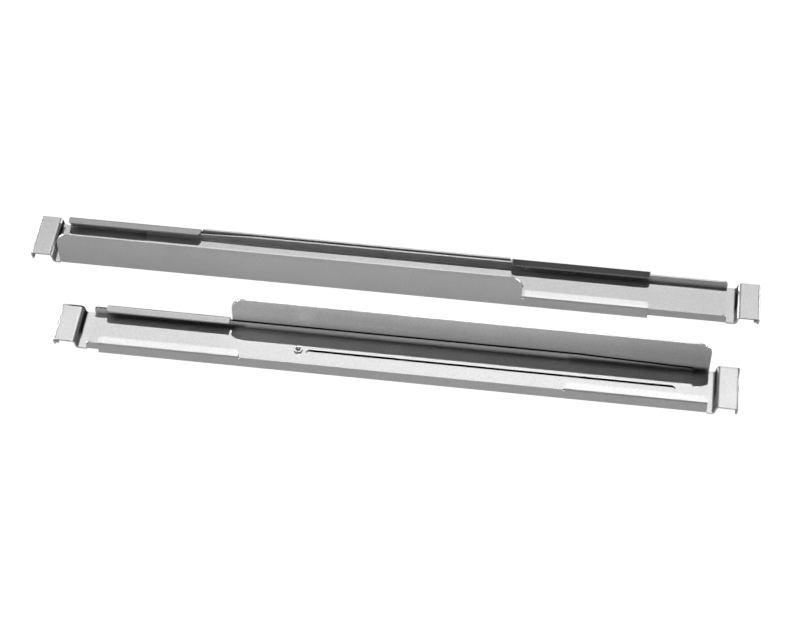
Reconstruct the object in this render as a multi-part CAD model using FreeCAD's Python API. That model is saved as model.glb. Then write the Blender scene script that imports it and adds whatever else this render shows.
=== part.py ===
import FreeCAD, Part

# A pair of depth-adjustable slide rails for a 19 inch rack, lying on their backs.
# Each rail is two channels of bent sheet steel that telescope: the outer channel
# carries the tall support ledge and the lips that hold the inner channel down, and
# each channel ends in a joggled hook that grips the rack's upright.
# The right rail is the left rail turned half round, so both are made by the same
# functions. Millimetres; +X along the rails, +Z away from the webs, origin in the
# middle of the pair on the plane that the webs lie on.

import math
import os

from FreeCAD import Vector

# Sheet
SHEET = 1.5              # thickness of the steel sheet
BEND = 0.5               # inside radius of a bend

# Outer channel, measured from its hook end
OUTER_LENGTH = 550.0
OUTER_WIDTH = 44.0       # one rack unit less a working gap
LEDGE_START = 25.8
LEDGE_LENGTH = 413.5
LEDGE_HEIGHT = 39.0      # over the outside of the web
LEDGE_HOOK_CORNER = 12.0
LEDGE_FREE_CORNER = 13.0
LEDGE_RELIEF = 2.1       # notch between the ledge's end and the lip beside it
TAB_RELIEF = 1.5         # notch between the low wall's plain run and each of its lips
RELIEF_DEPTH = 2.4       # of every notch, from the top of the low wall
WALL_START = 26.3        # low wall, on the side away from the ledge
HOOK_TAB_LENGTH = 120.4  # lip at the hook end of the low wall
FREE_TAB_LENGTH = 122.7  # lip at the free end of the low wall
LIP_WIDTH = 8.1          # over the outside of the wall
LIP_TILT = 4.0           # degrees that a lip stays short of square
LIP_CORNER = 3.5

# Inner channel, measured from its hook end
INNER_LENGTH = 550.8
FLANGE_START = 28.9
FLANGE_HEIGHT = 10.0     # over the outside of the web
FLANGE_CORNER = 2.4      # rounded corner at the hook end
TAPER_LENGTH = 99.0      # run-in at the free end, so the flanges enter the lips
TAPER_DROP = 4.0
SLOT_START = 218.1
SLOT_END_MARGIN = 14.1   # sheet left between the slot and the free end
SLOT_WIDTH = 6.8
SLOT_OFFSET = 1.4        # from the middle of the web, away from the ledge

# Running fit of the inner channel in the outer one
SIDE_GAP = 0.7           # each side
LIP_GAP = 0.4            # between the flanges and the lips

# Hooks
OUTER_JOGGLE_FOOT = 22.2
OUTER_JOGGLE_RISE = 8.9
OUTER_LIP_DROP = 7.3     # end lip, from the top of the hook plate
INNER_JOGGLE_FOOT = 22.4
INNER_JOGGLE_RISE = 8.0
INNER_LIP_DROP = 6.3
JOGGLE_ANGLE = 80.0
JOGGLE_BEND = 2.0        # inside radius of a joggle's two bends
LIP_OVERBEND = 8.0       # degrees that the end lips close past square
EAR_LENGTH = 3.4         # ears folded in from the sides of the inner hook's lip
EAR_HEIGHT = 2.6
EAR_TOP = 2.4            # below the top of the hook plate
EAR_CORNER = 0.6

# Nibs left on the blank's edge where its rounded corners begin
NIB_FOOT = 1.6
NIB_TOP = 0.8
NIB_HEIGHT = 0.8

# Threaded bush in the inner channel, M5 by 4
BUSH_POSITION = 211.3
BUSH_RADIUS = 3.55
BUSH_LENGTH = 4.0
BUSH_HEAD_FLATS = 8.0
BUSH_HEAD_HEIGHT = 0.9
THREAD_RADIUS = 2.1
THREAD_CHAMFER = 0.4
PRESS_GAP = 0.03         # drawn gap round the pressed-in bush

# The pair
LEFT_REST_LENGTH = 647.2   # over both hooks, partly pulled out
RIGHT_REST_LENGTH = 590.0  # over both hooks, pushed together
PAIR_GAP = 53.0            # between the backs of the two ledges
RIGHT_SHIFT = 13.1         # middle of the right rail, along +X from the left one's

# Worked-out sizes
BEND_OUT = BEND + SHEET
WALL_HEIGHT = SHEET + FLANGE_HEIGHT + LIP_GAP + SHEET
INNER_WIDTH = OUTER_WIDTH - 2 * SHEET - 2 * SIDE_GAP
MARGIN = 1.0             # how far a cutting or keeping shape runs past the sheet


def heading(degrees):
    """Unit vector in the drawing plane at an angle from its first axis."""
    turn = math.radians(degrees)
    return Vector(math.cos(turn), math.sin(turn), 0)


def line(start, end):
    """Straight edge between two points."""
    return Part.LineSegment(start, end).toShape()


def flat(length):
    """Move of bent_strip: a straight run."""
    return "flat", length, 0


def bend(degrees, inside=BEND):
    """Move of bent_strip: a bend with some inside radius, to the left if it is positive."""
    return "bend", degrees, inside


def bent_strip(start, degrees, moves):
    """Section of a bent sheet, drawn by walking along its right-hand face."""
    at = start
    left_start = start + heading(degrees + 90) * SHEET
    right = []
    left = []
    for kind, amount, inside in moves:
        side = heading(degrees + 90)
        if kind == "flat":
            to = at + heading(degrees) * amount
            right.append(line(at, to))
            left.append(line(at + side * SHEET, to + side * SHEET))
        else:
            turn = math.copysign(1, amount)
            radius = inside + SHEET if amount > 0 else inside
            centre = at + side * turn * radius
            sides = [heading(degrees + 90 + amount * share) for share in (0, 0.5, 1)]
            on_right = [centre - each * turn * radius for each in sides]
            on_left = [point + each * SHEET for point, each in zip(on_right, sides)]
            right.append(Part.Arc(*on_right).toShape())
            left.append(Part.Arc(*on_left).toShape())
            to = on_right[2]
            degrees += amount
        at = to
    left_end = at + heading(degrees + 90) * SHEET
    caps = [line(left_start, start), line(at, left_end)]
    return Part.Face(Part.Wire(Part.sortEdges(caps + right + left)[0]))


def outline(points, radii):
    """Closed flat outline with its corners rounded; a radius of 0 leaves one sharp."""
    edges = []
    stops = []
    for index, corner in enumerate(points):
        back = (points[index - 1] - corner).normalize()
        ahead = (points[(index + 1) % len(points)] - corner).normalize()
        half = back.getAngle(ahead) / 2
        cut = radii[index] / math.tan(half)
        enter = corner + back * cut
        leave = corner + ahead * cut
        if radii[index]:
            inwards = (back + ahead).normalize()
            nearest = corner + inwards * radii[index] * (1 / math.sin(half) - 1)
            edges.append(Part.Arc(enter, nearest, leave).toShape())
        stops.append((enter, leave))
    for (_, leave), (enter, _) in zip(stops, stops[1:] + stops[:1]):
        edges.append(line(leave, enter))
    return Part.Face(Part.Wire(Part.sortEdges(edges)[0]))


def stand_along_x(face, x, length):
    """Stand a drawn section up in the YZ plane and draw it out along X."""
    section = face.copy()
    section.rotate(Vector(), Vector(1, 1, 1), 120)
    section.translate(Vector(x, 0, 0))
    return section.extrude(Vector(length, 0, 0))


def stand_along_y(face, y, length):
    """Stand a drawn section up in the XZ plane and draw it out along Y."""
    section = face.copy()
    section.rotate(Vector(), Vector(1, 0, 0), 90)
    section.translate(Vector(0, y, 0))
    return section.extrude(Vector(0, length, 0))


def through_y(face, width):
    """Side view drawn right through a channel of some width."""
    return stand_along_y(face, -MARGIN, width + 2 * MARGIN)


def block(low, high):
    """Box between two corners."""
    size = high - low
    return Part.makeBox(size.x, size.y, size.z, low)


def joined(first, others):
    """One clean solid from pieces that share faces."""
    return first.multiFuse(others).removeSplitter()


def channel_side(half_width, height, lip):
    """Section of one side of a channel, from its web outwards and up.

    The web lies on the drawing's first axis, and the channel's middle is at its zero.
    """
    moves = [bend(90), flat(height - BEND_OUT)]
    if lip:
        moves = [
            bend(90),
            flat(height - 2 * BEND_OUT),
            bend(90 - LIP_TILT),
            flat(LIP_WIDTH - BEND_OUT),
        ]
    return bent_strip(Vector(half_width - BEND_OUT, 0, 0), 0, moves)


def side_run(start, end, width, height, lip, on_ledge_side):
    """One side of a channel between two distances from its hook end."""
    section = channel_side(width / 2, height, lip)
    solid = stand_along_x(section, start, end - start)
    if on_ledge_side:
        solid = solid.mirror(Vector(), Vector(0, 1, 0))
    solid.translate(Vector(0, width / 2, 0))
    return solid


def web_strip(start, end, width):
    """Flat of a channel's web, between the bends of its two sides."""
    return block(Vector(start, BEND_OUT, 0), Vector(end, width - BEND_OUT, SHEET))


def plain_wall(start, end, height, on_ledge_side):
    """Low wall of the outer channel without a lip."""
    return side_run(start, end, OUTER_WIDTH, height, False, on_ledge_side)


def lip_tab(start, end, on_ledge_side, start_corner):
    """Low wall with a lip, whose corner at the start is rounded unless its radius is 0."""
    wall = side_run(start, end, OUTER_WIDTH, WALL_HEIGHT, True, on_ledge_side)
    outside = -MARGIN if on_ledge_side else OUTER_WIDTH + MARGIN
    edge = LIP_WIDTH if on_ledge_side else OUTER_WIDTH - LIP_WIDTH
    points = [
        Vector(start, outside, 0),
        Vector(start, edge, 0),
        Vector(end, edge, 0),
        Vector(end, outside, 0),
    ]
    plan = outline(points, [0, start_corner, LIP_CORNER, 0])
    return wall.common(plan.extrude(Vector(0, 0, WALL_HEIGHT + LIP_WIDTH)))


def nib_on(start, height):
    """Side view of a nib whose foot starts at some distance on an upright's edge."""
    middle = start + NIB_FOOT / 2
    points = [
        Vector(start, height - MARGIN, 0),
        Vector(start + NIB_FOOT, height - MARGIN, 0),
        Vector(start + NIB_FOOT, height, 0),
        Vector(middle + NIB_TOP / 2, height + NIB_HEIGHT, 0),
        Vector(middle - NIB_TOP / 2, height + NIB_HEIGHT, 0),
        Vector(start, height, 0),
    ]
    return outline(points, [0] * len(points))


def ledge():
    """Tall support ledge with its rounded ends and the nib beside the hook-end corner."""
    end = LEDGE_START + LEDGE_LENGTH
    sheet = side_run(LEDGE_START, end, OUTER_WIDTH, LEDGE_HEIGHT + NIB_HEIGHT, False, True)
    points = [
        Vector(LEDGE_START, -MARGIN, 0),
        Vector(end, -MARGIN, 0),
        Vector(end, LEDGE_HEIGHT, 0),
        Vector(LEDGE_START, LEDGE_HEIGHT, 0),
    ]
    view = outline(points, [0, 0, LEDGE_FREE_CORNER, LEDGE_HOOK_CORNER])
    view = view.fuse(nib_on(LEDGE_START + LEDGE_HOOK_CORNER, LEDGE_HEIGHT))
    return sheet.common(through_y(view, OUTER_WIDTH))


def hook_strip(web_end, foot, rise, lip_drop, width):
    """Hook end of a channel: end lip, hook plate, joggle and the web up to web_end."""
    angle = math.radians(JOGGLE_ANGLE)
    turns = 2 * JOGGLE_BEND + SHEET
    slope = (rise - turns * (1 - math.cos(angle))) / math.sin(angle)
    run = turns * math.sin(angle) + slope * math.cos(angle)
    lip = (lip_drop - BEND_OUT) / math.cos(math.radians(LIP_OVERBEND))
    moves = [
        flat(web_end - foot),
        bend(-JOGGLE_ANGLE, JOGGLE_BEND),
        flat(slope),
        bend(JOGGLE_ANGLE, JOGGLE_BEND),
        flat(foot - run - BEND_OUT),
        bend(90 + LIP_OVERBEND),
        flat(lip),
    ]
    section = bent_strip(Vector(web_end, SHEET, 0), 180, moves)
    return stand_along_y(section, 0, width)


def outer_channel():
    """Outer channel from its hook end along +X, its ledge on the Y = 0 side."""
    relief_height = WALL_HEIGHT - RELIEF_DEPTH
    ledge_end = LEDGE_START + LEDGE_LENGTH
    ledge_tab = ledge_end + LEDGE_RELIEF
    hook_tab_end = WALL_START + HOOK_TAB_LENGTH
    run_start = hook_tab_end + TAB_RELIEF
    free_tab = OUTER_LENGTH - FREE_TAB_LENGTH
    run_end = free_tab - TAB_RELIEF
    pieces = [
        hook_strip(LEDGE_START, OUTER_JOGGLE_FOOT, OUTER_JOGGLE_RISE, OUTER_LIP_DROP, OUTER_WIDTH),
        ledge(),
        plain_wall(ledge_end, ledge_tab, relief_height, True),
        lip_tab(ledge_tab, OUTER_LENGTH, True, 0),
        lip_tab(WALL_START, hook_tab_end, False, LIP_CORNER),
        plain_wall(hook_tab_end, run_start, relief_height, False),
        plain_wall(run_start, run_end, WALL_HEIGHT, False),
        plain_wall(run_end, free_tab, relief_height, False),
        lip_tab(free_tab, OUTER_LENGTH, False, LIP_CORNER),
    ]
    return joined(web_strip(LEDGE_START, OUTER_LENGTH, OUTER_WIDTH), pieces)


def flange_view():
    """Side view of an inner flange: rounded at the hook end, tapered at the free end."""
    taper = INNER_LENGTH - TAPER_LENGTH
    points = [
        Vector(FLANGE_START, -MARGIN, 0),
        Vector(INNER_LENGTH, -MARGIN, 0),
        Vector(INNER_LENGTH, FLANGE_HEIGHT - TAPER_DROP, 0),
        Vector(taper, FLANGE_HEIGHT, 0),
        Vector(FLANGE_START, FLANGE_HEIGHT, 0),
    ]
    view = outline(points, [0, 0, 0, 0, FLANGE_CORNER])
    return view.fuse(nib_on(FLANGE_START + FLANGE_CORNER, FLANGE_HEIGHT))


def flange(on_ledge_side):
    """One flange of the inner channel with the bend at its foot."""
    full = FLANGE_HEIGHT + NIB_HEIGHT
    side = side_run(FLANGE_START, INNER_LENGTH, INNER_WIDTH, full, False, on_ledge_side)
    return side.common(through_y(flange_view(), INNER_WIDTH))


def hook_ear(on_ledge_side):
    """Ear folded in from one side of the inner hook's end lip, its root in the lip."""
    top = SHEET + INNER_JOGGLE_RISE - EAR_TOP
    root = SHEET / 2
    tip = SHEET + EAR_LENGTH
    points = [
        Vector(root, top - EAR_HEIGHT, 0),
        Vector(tip, top - EAR_HEIGHT, 0),
        Vector(tip, top, 0),
        Vector(root, top, 0),
    ]
    view = outline(points, [0, EAR_CORNER, EAR_CORNER, 0])
    return stand_along_y(view, 0 if on_ledge_side else INNER_WIDTH - SHEET, SHEET)


def slot_cutter():
    """Long slot with round ends in the inner web."""
    half = SLOT_WIDTH / 2
    middle = INNER_WIDTH / 2 + SLOT_OFFSET
    low = middle - half
    high = middle + half
    near = SLOT_START + half
    far = INNER_LENGTH - SLOT_END_MARGIN - half
    far_tip = Vector(far + half, middle, 0)
    near_tip = Vector(near - half, middle, 0)
    edges = [
        line(Vector(near, low, 0), Vector(far, low, 0)),
        Part.Arc(Vector(far, low, 0), far_tip, Vector(far, high, 0)).toShape(),
        line(Vector(far, high, 0), Vector(near, high, 0)),
        Part.Arc(Vector(near, high, 0), near_tip, Vector(near, low, 0)).toShape(),
    ]
    return through_sheet(Part.Face(Part.Wire(edges)))


def through_sheet(face):
    """Flat outline drawn right through a web that lies on Z = 0."""
    face.translate(Vector(0, 0, -MARGIN))
    return face.extrude(Vector(0, 0, SHEET + 2 * MARGIN))


def hexagon(flats, height):
    """Hexagonal prism about the Z axis, standing on Z = 0."""
    radius = flats / math.sqrt(3)
    corners = [heading(60 * step) * radius for step in range(7)]
    return Part.Face(Part.makePolygon(corners)).extrude(Vector(0, 0, height))


def bush_body(gap):
    """Barrel and flush hexagonal head of the bush, grown by a gap all round."""
    barrel = Part.makeCylinder(BUSH_RADIUS + gap, BUSH_LENGTH)
    return barrel.fuse(hexagon(BUSH_HEAD_FLATS + 2 * gap, BUSH_HEAD_HEIGHT + gap))


def at_bush(shape):
    """Move a shape drawn about the Z axis to the bush's seat in the inner web."""
    shape.translate(Vector(BUSH_POSITION, INNER_WIDTH / 2, 0))
    return shape


def threaded_bush():
    """Pressed-in bush with an M5 bore, chamfered at its mouth."""
    bore = Part.makeCylinder(THREAD_RADIUS, BUSH_LENGTH)
    foot = Vector(0, 0, BUSH_LENGTH - THREAD_CHAMFER)
    mouth = Part.makeCone(THREAD_RADIUS, THREAD_RADIUS + THREAD_CHAMFER, THREAD_CHAMFER, foot)
    return at_bush(bush_body(0).cut(bore).cut(mouth).removeSplitter())


def inner_channel():
    """Inner channel from its hook end along +X, drawn with its web on Z = 0."""
    pieces = [
        hook_strip(FLANGE_START, INNER_JOGGLE_FOOT, INNER_JOGGLE_RISE, INNER_LIP_DROP, INNER_WIDTH),
        flange(True),
        flange(False),
        hook_ear(True),
        hook_ear(False),
    ]
    solid = joined(web_strip(FLANGE_START, INNER_LENGTH, INNER_WIDTH), pieces)
    return solid.cut(slot_cutter()).cut(at_bush(bush_body(PRESS_GAP)))


def in_outer_channel(shape, rest_length):
    """Put a piece drawn from the inner hook's end in its place in the outer channel.

    The mirror turns its hook to the far end, and the ledge's side stays the same.
    """
    placed = shape.mirror(Vector(), Vector(1, 0, 0))
    placed.translate(Vector(rest_length, SHEET + SIDE_GAP, SHEET))
    return placed


def rail(rest_length):
    """Named solids of one rail, its outer hook's end at X = 0."""
    return {
        "outer_channel": outer_channel(),
        "inner_channel": in_outer_channel(inner_channel(), rest_length),
        "threaded_bush": in_outer_channel(threaded_bush(), rest_length),
    }


def place_left(shape):
    """Left rail: beyond the middle, with its ledge towards the middle."""
    shape.translate(Vector(-LEFT_REST_LENGTH / 2, PAIR_GAP / 2, 0))
    return shape


def place_right(shape):
    """Right rail: the same rail turned half round, with its ledge towards the middle."""
    shape.rotate(Vector(), Vector(0, 0, 1), 180)
    shape.translate(Vector(RIGHT_SHIFT + RIGHT_REST_LENGTH / 2, -PAIR_GAP / 2, 0))
    return shape


def main():
    """Write one file for each separate piece of the pair."""
    os.makedirs("parts", exist_ok=True)
    rails = {
        "left_rail": (LEFT_REST_LENGTH, place_left),
        "right_rail": (RIGHT_REST_LENGTH, place_right),
    }
    for side, (rest_length, place) in rails.items():
        for name, shape in rail(rest_length).items():
            node = side + "_" + name
            piece = place(shape)
            piece.exportStep("parts/" + node + ".step")
            volume = round(piece.Volume, 1)
            print(node, "valid", piece.isValid(), "solids", len(piece.Solids), "volume", volume)


main()
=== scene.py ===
"""Looks of the sliding server rail pair: zinc-plated sheet steel in a pale studio.

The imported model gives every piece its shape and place. This script dresses each rail's
channels and bush in plated steel, cuts the thread into the bushes, and sets the floor,
the light and the camera. Sizes are in metres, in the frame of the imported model.
"""

import logging
import math
from dataclasses import dataclass, field
from enum import Enum

import bmesh
import bpy
from mathutils import Matrix, Vector


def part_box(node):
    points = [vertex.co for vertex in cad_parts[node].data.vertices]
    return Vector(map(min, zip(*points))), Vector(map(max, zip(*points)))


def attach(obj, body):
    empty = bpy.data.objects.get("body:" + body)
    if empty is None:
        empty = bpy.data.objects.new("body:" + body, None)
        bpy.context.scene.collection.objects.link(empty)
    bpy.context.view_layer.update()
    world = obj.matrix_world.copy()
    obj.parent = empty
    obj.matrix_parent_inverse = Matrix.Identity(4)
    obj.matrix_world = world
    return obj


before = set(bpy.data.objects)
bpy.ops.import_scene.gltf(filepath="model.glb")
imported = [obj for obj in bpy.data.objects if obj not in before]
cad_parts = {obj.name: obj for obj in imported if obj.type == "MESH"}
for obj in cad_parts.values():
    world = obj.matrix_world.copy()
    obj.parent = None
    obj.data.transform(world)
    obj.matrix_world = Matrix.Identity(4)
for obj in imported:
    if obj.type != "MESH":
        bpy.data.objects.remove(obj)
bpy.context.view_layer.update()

PLATE_ROUGHNESS = 0.475
EDGE_ROUGHNESS = 0.6

log = logging.getLogger("rails")


class Side(Enum):
    """The two rails of the pair, named as they lie seen along +X."""

    LEFT = "left"
    RIGHT = "right"


class Grain(Enum):
    """How far the specks of the plating are drawn out along the rail."""

    ROLLED = 14.0
    EVEN = 1.0


@dataclass(frozen=True)
class Patch:
    """Part of a sheet where the plating differs from the rest, or where light or shade is painted
    into its colour.

    Attributes:
        low: Lowest corner of the box that holds the patch.
        high: Highest corner of that box.
        roughness: Roughness of the plating there.
        tone: Share of the colour that is left there, as painted shade below 1 and painted light
            above 1.
        edge: Share of the box over which the patch fades out.
    """

    low: Vector
    high: Vector
    roughness: float
    tone: float
    edge: float = 0.02

    def mask(self, tree: bpy.types.NodeTree, place: bpy.types.NodeSocket) -> bpy.types.NodeSocket:
        """Add nodes that tell how far a place lies inside the patch.

        Args:
            tree: Node tree of the material.
            place: Socket with the surface's place in metres.

        Returns:
            1 inside the patch and 0 outside.
        """
        apart = tree.nodes.new("ShaderNodeVectorMath")
        apart.operation = "SUBTRACT"
        apart.inputs[1].default_value = (self.low + self.high) / 2
        share = tree.nodes.new("ShaderNodeVectorMath")
        share.operation = "DIVIDE"
        share.inputs[1].default_value = (self.high - self.low) / 2
        size = tree.nodes.new("ShaderNodeVectorMath")
        size.operation = "ABSOLUTE"
        split = tree.nodes.new("ShaderNodeSeparateXYZ")
        tree.links.new(place, apart.inputs[0])
        tree.links.new(apart.outputs[0], share.inputs[0])
        tree.links.new(share.outputs[0], size.inputs[0])
        tree.links.new(size.outputs[0], split.inputs[0])
        furthest = split.outputs["X"]
        for axis in ("Y", "Z"):
            larger = tree.nodes.new("ShaderNodeMath")
            larger.operation = "MAXIMUM"
            tree.links.new(furthest, larger.inputs[0])
            tree.links.new(split.outputs[axis], larger.inputs[1])
            furthest = larger.outputs[0]
        fade = tree.nodes.new("ShaderNodeMapRange")
        fade.inputs["From Min"].default_value = 1.0
        fade.inputs["From Max"].default_value = 1.0 - self.edge
        tree.links.new(furthest, fade.inputs["Value"])
        return fade.outputs["Result"]


@dataclass(frozen=True)
class Layer:
    """One layer of specks in the plating.

    Attributes:
        pitch: Size of one speck, in metres.
        octaves: Octaves of finer specks within it.
        share: Its share of the plating's tone.
        grain: How far its specks are drawn out along X.
    """

    pitch: float
    octaves: float
    share: float
    grain: Grain = Grain.EVEN

    def noise(self, tree: bpy.types.NodeTree, place: bpy.types.NodeSocket) -> bpy.types.NodeSocket:
        """Add the layer's nodes.

        Args:
            tree: Node tree of the material.
            place: Socket with the surface's place in metres.

        Returns:
            The layer's value, about 0 to 1.
        """
        mapping = tree.nodes.new("ShaderNodeMapping")
        mapping.inputs["Scale"].default_value = (1 / self.grain.value, 1.0, 1.0)
        noise = tree.nodes.new("ShaderNodeTexNoise")
        noise.inputs["Scale"].default_value = 1 / self.pitch
        noise.inputs["Detail"].default_value = self.octaves
        tree.links.new(place, mapping.inputs["Vector"])
        tree.links.new(mapping.outputs["Vector"], noise.inputs["Vector"])
        return noise.outputs["Fac"]


@dataclass(frozen=True)
class ZincPlate:
    """Dull electroplated zinc on rolled sheet: fine specks, soft clouds, faint streaks.

    Attributes:
        name: Name of the material.
        colour: Colour of the clean plating.
        edge_tint: Tint of the metal seen at a low angle.
        roughness: Mean roughness of the plating.
        rough_spread: How far the roughness strays to either side.
        dull_colour: Colour of the light that the plating scatters evenly.
        dullness: Share of the light that it scatters so.
        specks: Fine specks, which also stand up as bumps.
        clouds: Passivation clouds.
        streaks: Streaks left by rolling.
        darkest_at: Blend of the layers at which the plating is darkest.
        palest_at: Blend of the layers at which it is palest.
        mottle: How far the colour strays to either side.
        bump_height: Height of the specks' bumps, in metres.
        bump_strength: Share of that height that shows.
        recess_reach: How far across a recess is, in metres, where shade is painted into the colour.
        recess_tone: Share of the colour that is left in the deepest recess, as painted shade.
        open_from: Openness, 0 to 1, from which no shade is painted.
        recess_samples: Rays that feel for a recess round a place.
        patches: Where the plating differs or light and shade are painted.
    """

    name: str
    colour: tuple[float, float, float] = (0.44, 0.44, 0.445)
    edge_tint: tuple[float, float, float] = (0.73, 0.73, 0.73)
    roughness: float = PLATE_ROUGHNESS
    rough_spread: float = 0.04
    dull_colour: tuple[float, float, float] = (0.6, 0.6, 0.605)
    dullness: float = 0.2
    specks: Layer = Layer(pitch=0.0012, octaves=2.0, share=0.65)
    clouds: Layer = Layer(pitch=0.06, octaves=3.0, share=0.25)
    streaks: Layer = Layer(pitch=0.0012, octaves=1.0, share=0.1, grain=Grain.ROLLED)
    darkest_at: float = 0.3
    palest_at: float = 0.7
    mottle: float = 0.16
    bump_height: float = 0.00002
    bump_strength: float = 0.3
    recess_reach: float = 0.015
    recess_tone: float = 0.02
    open_from: float = 0.6
    recess_samples: int = 8
    patches: tuple[Patch, ...] = ()

    def material(self) -> bpy.types.Material:
        """Make the material with all its nodes.

        Returns:
            The finished material.
        """
        made = bpy.data.materials.new(self.name)
        made.use_nodes = True
        tree = made.node_tree
        tree.nodes.remove(tree.nodes["Principled BSDF"])
        metal, dull = self._shaders(tree)
        place = tree.nodes.new("ShaderNodeTexCoord").outputs["Object"]
        specks = self.specks.noise(tree, place)
        clouds = self.clouds.noise(tree, place)
        streaks = self.streaks.noise(tree, place)
        blend = self._blend(
            tree,
            [
                (specks, self.specks.share),
                (clouds, self.clouds.share),
                (streaks, self.streaks.share),
            ],
        )
        roughness = self._roughness(tree, blend)
        # Painted shade: the colour is darkened in recesses and tight corners; the patches' tones
        # then paint light or shade.
        left = self._painted_recess_shade(tree)
        for patch in self.patches:
            mask = patch.mask(tree, place)
            roughness = self._step_to(tree, mask, roughness, patch.roughness)
            left = self._step_to(tree, mask, left, patch.tone)
        tree.links.new(roughness, metal.inputs["Roughness"])
        tree.links.new(self._colour(tree, blend, left, self.colour), metal.inputs["Base Color"])
        tree.links.new(self._colour(tree, blend, left, self.dull_colour), dull.inputs["Color"])
        bump = tree.nodes.new("ShaderNodeBump")
        bump.inputs["Strength"].default_value = self.bump_strength
        bump.inputs["Distance"].default_value = self.bump_height
        tree.links.new(specks, bump.inputs["Height"])
        tree.links.new(bump.outputs["Normal"], metal.inputs["Normal"])
        tree.links.new(bump.outputs["Normal"], dull.inputs["Normal"])
        return made

    def _shaders(self, tree: bpy.types.NodeTree) -> tuple[bpy.types.Node, bpy.types.Node]:
        """Mix bare metal with the dull film on it.

        Args:
            tree: Node tree of the material.

        Returns:
            The metal's shader and the dull film's.
        """
        metal = tree.nodes.new("ShaderNodeBsdfMetallic")
        metal.distribution = "BECKMANN"
        metal.fresnel_type = "F82"
        metal.inputs["Edge Tint"].default_value = (*self.edge_tint, 1.0)
        dull = tree.nodes.new("ShaderNodeBsdfDiffuse")
        both = tree.nodes.new("ShaderNodeMixShader")
        both.inputs["Fac"].default_value = self.dullness
        tree.links.new(metal.outputs["BSDF"], both.inputs[1])
        tree.links.new(dull.outputs["BSDF"], both.inputs[2])
        tree.links.new(both.outputs["Shader"], tree.nodes["Material Output"].inputs["Surface"])
        return metal, dull

    def _blend(
        self,
        tree: bpy.types.NodeTree,
        layers: list[tuple[bpy.types.NodeSocket, float]],
    ) -> bpy.types.NodeSocket:
        """Add layers up by their shares.

        Args:
            tree: Node tree of the material.
            layers: Pairs of a value and its share.

        Returns:
            The weighted sum.
        """
        total = None
        for value, share in layers:
            step = tree.nodes.new("ShaderNodeMath")
            step.operation = "MULTIPLY_ADD"
            step.inputs[1].default_value = share
            step.inputs[2].default_value = 0.0
            tree.links.new(value, step.inputs[0])
            if total is not None:
                tree.links.new(total, step.inputs[2])
            total = step.outputs[0]
        return total

    def _roughness(
        self, tree: bpy.types.NodeTree, blend: bpy.types.NodeSocket
    ) -> bpy.types.NodeSocket:
        """Let the roughness stray with the blended layers.

        Args:
            tree: Node tree of the material.
            blend: The blended layers, about 0 to 1.

        Returns:
            The roughness.
        """
        rough = tree.nodes.new("ShaderNodeMapRange")
        rough.inputs["To Min"].default_value = self.roughness - self.rough_spread
        rough.inputs["To Max"].default_value = self.roughness + self.rough_spread
        tree.links.new(blend, rough.inputs["Value"])
        return rough.outputs["Result"]

    def _painted_recess_shade(self, tree: bpy.types.NodeTree) -> bpy.types.NodeSocket:
        """Add nodes that paint shade into recesses and tight corners by darkening the colour.

        Args:
            tree: Node tree of the material.

        Returns:
            Share of the colour that is left, 1 on open sheet.
        """
        openness = tree.nodes.new("ShaderNodeAmbientOcclusion")
        openness.samples = self.recess_samples
        openness.inputs["Distance"].default_value = self.recess_reach
        left = tree.nodes.new("ShaderNodeMapRange")
        left.interpolation_type = "SMOOTHSTEP"
        left.inputs["From Max"].default_value = self.open_from
        left.inputs["To Min"].default_value = self.recess_tone
        tree.links.new(openness.outputs["AO"], left.inputs["Value"])
        return left.outputs["Result"]

    def _step_to(
        self,
        tree: bpy.types.NodeTree,
        mask: bpy.types.NodeSocket,
        value: bpy.types.NodeSocket,
        other: float,
    ) -> bpy.types.NodeSocket:
        """Give a value another level inside a patch.

        Args:
            tree: Node tree of the material.
            mask: 1 inside the patch and 0 outside.
            value: The value outside.
            other: The level inside.

        Returns:
            The value with the patch in it.
        """
        mix = tree.nodes.new("ShaderNodeMix")
        mix.inputs["B"].default_value = other
        tree.links.new(mask, mix.inputs["Factor"])
        tree.links.new(value, mix.inputs["A"])
        return mix.outputs["Result"]

    def _colour(
        self,
        tree: bpy.types.NodeTree,
        blend: bpy.types.NodeSocket,
        left: bpy.types.NodeSocket,
        clean: tuple[float, float, float],
    ) -> bpy.types.NodeSocket:
        """Colour the plating by its layers, and scale it by the painted light and shade.

        Args:
            tree: Node tree of the material.
            blend: The blended layers, about 0 to 1.
            left: Share of the colour that is left after the painted light and shade.
            clean: The colour at the middle of the layers.

        Returns:
            The colour.
        """
        ramp = tree.nodes.new("ShaderNodeValToRGB")
        low, high = ramp.color_ramp.elements
        low.position, high.position = self.darkest_at, self.palest_at
        low.color = (*[(1 - self.mottle) * part for part in clean], 1.0)
        high.color = (*[(1 + self.mottle) * part for part in clean], 1.0)
        tree.links.new(blend, ramp.inputs["Fac"])
        darker = tree.nodes.new("ShaderNodeMix")
        darker.data_type = "RGBA"
        darker.blend_type = "MULTIPLY"
        darker.inputs["Factor"].default_value = 1.0
        tree.links.new(ramp.outputs["Color"], darker.inputs["A"])
        tree.links.new(left, darker.inputs["B"])
        return darker.outputs["Result"]


@dataclass(frozen=True)
class BushZinc(ZincPlate):
    """The same zinc on a turned bush: no rolling streaks, and fainter painted shade in its bore."""

    streaks: Layer = Layer(pitch=0.0012, octaves=1.0, share=0.1)
    recess_tone: float = 0.7


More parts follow.
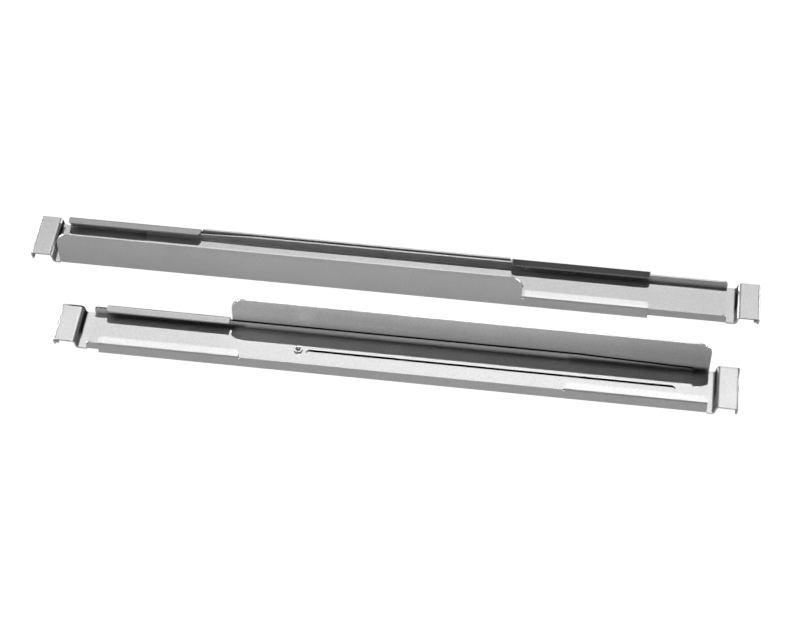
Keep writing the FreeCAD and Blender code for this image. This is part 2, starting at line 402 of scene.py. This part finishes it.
@dataclass
class Rail:
    """One rail: two telescoping channels and the threaded bush of the inner one.

    Attributes:
        side: Which rail of the pair.
        bore: Radius of the bush's bore.
        thread_pitch: Pitch of the M5 thread.
        thread_height: How far the thread's crests stand in from the bore.
        thread_foot: How far they are rooted in the bush's wall.
        thread_steps: Straight steps in one turn of the thread.
        plain_turns: Turns that are left off at each end of the bush.
        joggle_top: From a hook's end to the top of its joggle.
        joggle_foot: From a hook's end to the foot of its joggle.
        joggle_low: Lowest place of the shade painted on a joggle.
        joggle_high: Highest place of it.
        joggle_shift: Share of the channel's width by which it lies towards +Y.
        joggle_tone: Share of the colour that is left there, as painted shade.
        joggle_fade: Share of the joggle over which it fades out.
    """

    side: Side
    bore: float = 0.0021
    thread_pitch: float = 0.0008
    thread_height: float = 0.0002
    thread_foot: float = 0.00003
    thread_steps: int = 48
    plain_turns: float = 1.0
    joggle_top: float = 0.0160
    joggle_foot: float = 0.0228
    joggle_low: float = 0.0018
    joggle_high: float = 0.0092
    joggle_shift: float = 0.2
    joggle_tone: float = 0.08
    joggle_fade: float = 0.45

    def painted_joggle_shade(self, channel: str) -> Patch:
        """Paint shade on the joggle of a channel.

        Args:
            channel: The channel, as its node names it.

        Returns:
            The patch of painted shade on the joggle's slope, darkest towards +Y.
        """
        low, high = (Vector(corner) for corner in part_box(f"{self.side.value}_rail_{channel}"))
        shift = self.joggle_shift * (high.y - low.y)
        hook_is_low = (self.side is Side.LEFT) == (channel == "outer_channel")
        if hook_is_low:
            start, end = low.x + self.joggle_top, low.x + self.joggle_foot
        else:
            start, end = high.x - self.joggle_foot, high.x - self.joggle_top
        return Patch(
            low=Vector((start, low.y + shift, self.joggle_low)),
            high=Vector((end, high.y + shift, self.joggle_high)),
            roughness=PLATE_ROUGHNESS,
            tone=self.joggle_tone,
            edge=self.joggle_fade,
        )

    def dress(self, finishes: dict[str, bpy.types.Material]) -> None:
        """Give each of the rail's solids its finish.

        Args:
            finishes: Finish of each kind of piece.
        """
        for piece, finish in finishes.items():
            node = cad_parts[f"{self.side.value}_rail_{piece}"]
            node.data.materials.clear()
            node.data.materials.append(finish)
            log.info("%s dressed in %s", node.name, finish.name)

    def cut_thread(self, finish: bpy.types.Material) -> bpy.types.Object:
        """Run the thread's crests round the bore of the bush.

        Args:
            finish: Finish of the bush.

        Returns:
            The thread.
        """
        low, high = (Vector(corner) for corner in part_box(f"{self.side.value}_rail_threaded_bush"))
        middle = (low + high) / 2
        half = self.thread_pitch / 2
        root = self.bore + self.thread_foot
        crest = self.bore - self.thread_height
        section = ((root, -half), (crest, 0), (root, half))
        turns = (high.z - low.z) / self.thread_pitch - 2 * self.plain_turns
        mesh = bmesh.new()
        rings = []
        for step in range(int(turns * self.thread_steps) + 1):
            turned = step / self.thread_steps
            around = Vector((math.cos(math.tau * turned), math.sin(math.tau * turned), 0))
            height = low.z + self.thread_pitch * (self.plain_turns + turned)
            centre = Vector((middle.x, middle.y, height))
            rings.append(
                [mesh.verts.new(centre + around * out + Vector((0, 0, up))) for out, up in section]
            )
        for ring, after in zip(rings, rings[1:]):
            for corner in range(len(section)):
                beside = (corner + 1) % len(section)
                mesh.faces.new((ring[corner], ring[beside], after[beside], after[corner]))
        mesh.faces.new(rings[0][::-1])
        mesh.faces.new(rings[-1])
        bmesh.ops.recalc_face_normals(mesh, faces=mesh.faces)
        name = f"{self.side.value}_bush_thread"
        data = bpy.data.meshes.new(name)
        mesh.to_mesh(data)
        mesh.free()
        data.materials.append(finish)
        thread = bpy.data.objects.new(name, data)
        bpy.context.scene.collection.objects.link(thread)
        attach(thread, f"{self.side.value}_inner")
        log.info("%s runs %.1f turns", name, turns)
        return thread


@dataclass(frozen=True)
class Lamp:
    """One lamp of the studio, far enough away to shine evenly over the whole pair.

    Attributes:
        name: Name of the lamp.
        azimuth: Side it stands on, in degrees from +Y towards +X.
        elevation: Height above the floor, in degrees.
        strength: Light that it sends, in watts per square metre.
        spread: How wide it looks from the rails, in degrees; shadows soften with it.
        shadows: Whether what it lights is shaded by other things.
        glints: Whether it shows as a highlight in the metal.
    """

    name: str
    azimuth: float
    elevation: float
    strength: float
    spread: float
    shadows: bool = True
    glints: bool = True

    def hang(self, lit: list[bpy.types.Object]) -> bpy.types.Object:
        """Hang the lamp so that it lights only what it is meant for.

        Args:
            lit: The objects that it lights.

        Returns:
            The lamp.
        """
        bulb = bpy.data.lights.new(self.name, "SUN")
        bulb.energy = self.strength
        bulb.angle = math.radians(self.spread)
        bulb.use_shadow = self.shadows
        lamp = bpy.data.objects.new(self.name, bulb)
        around, raised = math.radians(self.azimuth), math.radians(self.elevation)
        level = math.cos(raised)
        towards = Vector((level * math.sin(around), level * math.cos(around), math.sin(raised)))
        lamp.rotation_mode = "QUATERNION"
        lamp.rotation_quaternion = towards.to_track_quat("Z", "Y")
        lamp.visible_glossy = self.glints
        aim_only_at(lamp, lit)
        return lamp


@dataclass(frozen=True)
class Softbox:
    """Round soft lamp close to the rails, brightest at the end that it stands over.

    Attributes:
        name: Name of the lamp.
        place: Its middle.
        width: Its diameter.
        power: Light that it sends, in watts.
    """

    name: str
    place: tuple[float, float, float]
    width: float
    power: float

    def hang(self, lit: list[bpy.types.Object]) -> bpy.types.Object:
        """Hang the lamp facing the middle of the pair.

        Args:
            lit: The objects that it lights.

        Returns:
            The lamp.
        """
        panel = bpy.data.lights.new(self.name, "AREA")
        panel.shape = "DISK"
        panel.size = self.width
        panel.energy = self.power
        lamp = bpy.data.objects.new(self.name, panel)
        lamp.location = self.place
        lamp.rotation_mode = "QUATERNION"
        lamp.rotation_quaternion = Vector(self.place).to_track_quat("Z", "Y")
        aim_only_at(lamp, lit)
        return lamp


def aim_only_at(lamp: bpy.types.Object, lit: list[bpy.types.Object]) -> None:
    """Put a lamp in the scene and keep its light and shadows to some objects.

    Args:
        lamp: The lamp.
        lit: The objects that it lights.
    """
    group = bpy.data.collections.new(f"lit by {lamp.name}")
    for piece in lit:
        group.objects.link(piece)
    lamp.light_linking.receiver_collection = group
    lamp.light_linking.blocker_collection = group
    bpy.context.scene.collection.objects.link(lamp)


@dataclass
class Studio:
    """Pale floor, soft light and the camera at the photograph's angle.

    Attributes:
        target: Place on the floor that the camera looks at.
        distance: From the camera to that place.
        azimuth: Where the camera looks, in degrees from +Y towards +X.
        elevation: How far down it looks, in degrees.
        roll: How far it is turned about its line of sight, in degrees.
        focal_pixels: Its focal length, in pixels of the photograph.
        image_width: Width of the photograph, in pixels.
        sensor_width: Width of the camera's sensor, in millimetres.
        sight: How far the camera sees.
        floor_reach: Width of the floor.
        floor_drop: How far the floor lies under the rails.
        floor_greys: Darkest and palest grey of the floor.
        floor_clouds: Soft clouds across the width of the floor.
        floor_roughness: Roughness of the floor.
        white: Brightness of the floor and the backdrop where the camera sees them.
        sky_strength: Light that the backdrop sends to the rails.
        left_key: Main light of the left rail.
        right_key: Main light of the right rail.
        left_wash: Low light on the near faces of the left rail.
        right_wash: Low light on the near faces of the right rail.
        back_wash: Low light on the far faces of both rails.
        left_side: Low light on what faces the left end.
        right_side: Low light on what faces the right end.
        bush_light: Light on the bushes and their threads.
        overhead: Soft light over the left end.
        floor_light: Light on the floor.
    """

    target: Vector = field(default_factory=lambda: Vector((0.0121, -0.0016, 0.0)))
    distance: float = 1.9224
    azimuth: float = -7.36
    elevation: float = 50.91
    roll: float = -0.19
    focal_pixels: float = 2194.9
    image_width: float = 800.0
    sensor_width: float = 36.0
    sight: float = 20.0
    floor_reach: float = 6.0
    floor_drop: float = 0.0002
    floor_greys: tuple[float, float] = (0.86, 0.88)
    floor_clouds: float = 3.0
    floor_roughness: float = 0.9
    white: float = 1.02
    sky_strength: float = 0.02
    left_key: Lamp = Lamp("left_key", azimuth=0.0, elevation=72.0, strength=1.41, spread=1.0)
    right_key: Lamp = Lamp("right_key", azimuth=0.0, elevation=67.0, strength=1.37, spread=1.0)
    left_wash: Lamp = Lamp(
        "left_wash", azimuth=180.0, elevation=10.0, strength=4.2, spread=8.0, glints=False
    )
    right_wash: Lamp = Lamp(
        "right_wash", azimuth=180.0, elevation=10.0, strength=5.2, spread=8.0, glints=False
    )
    back_wash: Lamp = Lamp(
        "back_wash", azimuth=0.0, elevation=10.0, strength=2.4, spread=8.0, glints=False
    )
    left_side: Lamp = Lamp("left_side", azimuth=-54.0, elevation=5.0, strength=1.5, spread=6.0)
    right_side: Lamp = Lamp("right_side", azimuth=54.0, elevation=5.0, strength=1.5, spread=6.0)
    bush_light: Lamp = Lamp("bush_light", azimuth=180.0, elevation=45.0, strength=4.5, spread=6.0)
    overhead: Softbox = Softbox("overhead", place=(-0.6, -0.1, 0.8), width=0.6, power=1.8)
    floor_light: Lamp = Lamp(
        "floor_light", azimuth=0.0, elevation=80.0, strength=0.7, spread=60.0, shadows=False
    )

    def build(self, threads: dict[Side, bpy.types.Object]) -> None:
        """Make the floor, the lights and the camera.

        Args:
            threads: Each rail's own thread, to be lit as the rail is.
        """
        floor = self._floor()
        lit = {}
        for side in Side:
            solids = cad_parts.items()
            lit[side] = [piece for name, piece in solids if name.startswith(side.value)]
            lit[side].append(threads[side])
        self.left_key.hang(lit[Side.LEFT])
        self.right_key.hang(lit[Side.RIGHT])
        self.left_wash.hang(lit[Side.LEFT])
        self.right_wash.hang(lit[Side.RIGHT])
        both = lit[Side.LEFT] + lit[Side.RIGHT]
        for lamp in (self.back_wash, self.left_side, self.right_side, self.overhead):
            lamp.hang(both)
        self.bush_light.hang([piece for piece in both if "bush" in piece.name])
        self.floor_light.hang([floor])
        self._sky()
        self._camera()
        log.info("studio set round %d pieces", len(both))

    def _floor(self) -> bpy.types.Object:
        """Lay the pale floor just under the rails.

        Returns:
            The floor.
        """
        bpy.ops.mesh.primitive_plane_add(size=self.floor_reach, location=(0, 0, -self.floor_drop))
        floor = bpy.context.object
        floor.name = "floor"
        made = bpy.data.materials.new("pale_floor")
        made.use_nodes = True
        tree = made.node_tree
        shader = tree.nodes["Principled BSDF"]
        clouds = tree.nodes.new("ShaderNodeTexNoise")
        clouds.inputs["Scale"].default_value = self.floor_clouds
        ramp = tree.nodes.new("ShaderNodeValToRGB")
        for stop, grey in zip(ramp.color_ramp.elements, self.floor_greys):
            stop.color = (grey, grey, grey, 1.0)
        tree.links.new(clouds.outputs["Fac"], ramp.inputs["Fac"])
        tree.links.new(ramp.outputs["Color"], shader.inputs["Base Color"])
        shader.inputs["Roughness"].default_value = self.floor_roughness
        shader.inputs["Specular IOR Level"].default_value = 0.0
        seen = tree.nodes.new("ShaderNodeLightPath")
        glow = tree.nodes.new("ShaderNodeEmission")
        glow.inputs["Strength"].default_value = self.white
        both = tree.nodes.new("ShaderNodeMixShader")
        tree.links.new(seen.outputs["Is Camera Ray"], both.inputs["Fac"])
        tree.links.new(shader.outputs["BSDF"], both.inputs[1])
        tree.links.new(glow.outputs["Emission"], both.inputs[2])
        tree.links.new(both.outputs["Shader"], tree.nodes["Material Output"].inputs["Surface"])
        floor.data.materials.append(made)
        return floor

    def _sky(self) -> None:
        """Send faint even light from all round, before a backdrop as pale as the floor."""
        world = bpy.data.worlds.new("studio")
        bpy.context.scene.world = world
        world.use_nodes = True
        tree = world.node_tree
        back = tree.nodes["Background"]
        seen = tree.nodes.new("ShaderNodeLightPath")
        strength = tree.nodes.new("ShaderNodeMapRange")
        strength.inputs["To Min"].default_value = self.sky_strength
        strength.inputs["To Max"].default_value = self.white
        tree.links.new(seen.outputs["Is Camera Ray"], strength.inputs["Value"])
        tree.links.new(strength.outputs["Result"], back.inputs["Strength"])
        back.inputs["Color"].default_value = (1, 1, 1, 1)

    def _camera(self) -> None:
        """Stand the camera where the photograph was taken from."""
        az, el, roll = (math.radians(a) for a in (self.azimuth, self.elevation, self.roll))
        ahead = Vector((math.sin(az) * math.cos(el), math.cos(az) * math.cos(el), -math.sin(el)))
        level = Vector((math.cos(az), -math.sin(az), 0))
        up = level.cross(ahead)
        across = level * math.cos(roll) + up * math.sin(roll)
        upright = up * math.cos(roll) - level * math.sin(roll)
        lens = bpy.data.cameras.new("camera")
        lens.sensor_width = self.sensor_width
        lens.lens = self.focal_pixels / self.image_width * self.sensor_width
        lens.clip_end = self.sight
        camera = bpy.data.objects.new("camera", lens)
        turn = Matrix((across, upright, -ahead)).transposed().to_4x4()
        camera.matrix_world = Matrix.Translation(self.target - ahead * self.distance) @ turn
        bpy.context.scene.collection.objects.link(camera)
        bpy.context.scene.camera = camera


def lowest_corner(node: str) -> Vector:
    """Give the lowest corner of a solid's box, from which its patches are measured."""
    return Vector(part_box(node)[0])


def sheet_marks_and_painted_light() -> dict[tuple[Side, str], tuple[Patch, ...]]:
    """Place the patches on the four channels: one rubbed lip, and painted light and shade on the
    ledges, by the slot and along a far rim.

    Returns:
        The patches of each side's channels.
    """
    left_outer = lowest_corner("left_rail_outer_channel")
    right_outer = lowest_corner("right_rail_outer_channel")
    right_inner = lowest_corner("right_rail_inner_channel")
    # Far lip of the left rail's free tab: a rubbed, shinier finish, with painted shade darkening
    # its colour.
    rubbed_lip_and_shade = Patch(
        low=left_outer + Vector((0.4273, 0.0359, 0.0124)),
        high=left_outer + Vector((0.5500, 0.0445, 0.0160)),
        roughness=0.26,
        tone=0.5,
    )
    # Painted light: the left ledge made paler towards its top.
    left_ledge_painted_light = Patch(
        low=left_outer + Vector((-1.7, -0.0065, 0.0050)),
        high=left_outer + Vector((2.3, 0.0035, 0.0750)),
        roughness=PLATE_ROUGHNESS,
        tone=1.28,
        edge=1.0,
    )
    # Painted light: the right ledge's inner face made paler towards its top and its left end.
    right_ledge_painted_light = Patch(
        low=right_outer + Vector((-0.5081, 0.0405, 0.0080)),
        high=right_outer + Vector((0.5919, 0.0505, 0.0700)),
        roughness=PLATE_ROUGHNESS,
        tone=1.9,
        edge=1.0,
    )
    # Painted shade: the right ledge's inner face made darker towards its foot and its right end.
    right_ledge_painted_shade = Patch(
        low=right_outer + Vector((0.0919, 0.0405, -0.0300)),
        high=right_outer + Vector((1.0919, 0.0505, 0.0350)),
        roughness=PLATE_ROUGHNESS,
        tone=0.6,
        edge=1.0,
    )
    # Painted shadow: a dark line on the outer web under the far edge of the inner channel's slot.
    slot_painted_shadow = Patch(
        low=right_outer + Vector((0.1739, 0.0229, -0.0010)),
        high=right_outer + Vector((0.5019, 0.0242, 0.0029)),
        roughness=EDGE_ROUGHNESS,
        tone=0.03,
    )
    # Painted shade: the far wall of the inner channel's slot darkened.
    slot_wall_painted_shade = Patch(
        low=right_inner + Vector((0.2139, 0.0216, -0.0003)),
        high=right_inner + Vector((0.5419, 0.0220, 0.0014)),
        roughness=EDGE_ROUGHNESS,
        tone=0.03,
    )
    # Painted shade: the dark gap line along the top of the right inner channel's far flange.
    far_rim_painted_shade = Patch(
        low=right_inner + Vector((0.0019, 0.0382, 0.0055)),
        high=right_inner + Vector((0.5819, 0.0403, 0.0103)),
        roughness=EDGE_ROUGHNESS,
        tone=0.05,
    )
    return {
        (Side.LEFT, "outer_channel"): (rubbed_lip_and_shade, left_ledge_painted_light),
        (Side.LEFT, "inner_channel"): (),
        (Side.RIGHT, "outer_channel"): (right_ledge_painted_light, right_ledge_painted_shade, slot_painted_shadow),
        (Side.RIGHT, "inner_channel"): (slot_wall_painted_shade, far_rim_painted_shade),
    }


def main() -> None:
    """Dress both rails, then set the studio round them."""
    logging.basicConfig(level=logging.INFO)
    bpy.context.scene.view_settings.view_transform = "Standard"
    marks_and_painted_light = sheet_marks_and_painted_light()
    bush = BushZinc("bush_zinc").material()
    threads = {}
    for side in Side:
        rail = Rail(side)
        finishes = {"threaded_bush": bush}
        for channel in ("outer_channel", "inner_channel"):
            # Each channel gets painted shade on its joggle, then its other patches.
            patches = (rail.painted_joggle_shade(channel), *marks_and_painted_light[side, channel])
            plate = ZincPlate(f"{side.value}_{channel}_zinc", patches=patches)
            finishes[channel] = plate.material()
        rail.dress(finishes)
        threads[side] = rail.cut_thread(bush)
    Studio().build(threads)


if __name__ == "__main__":
    main()
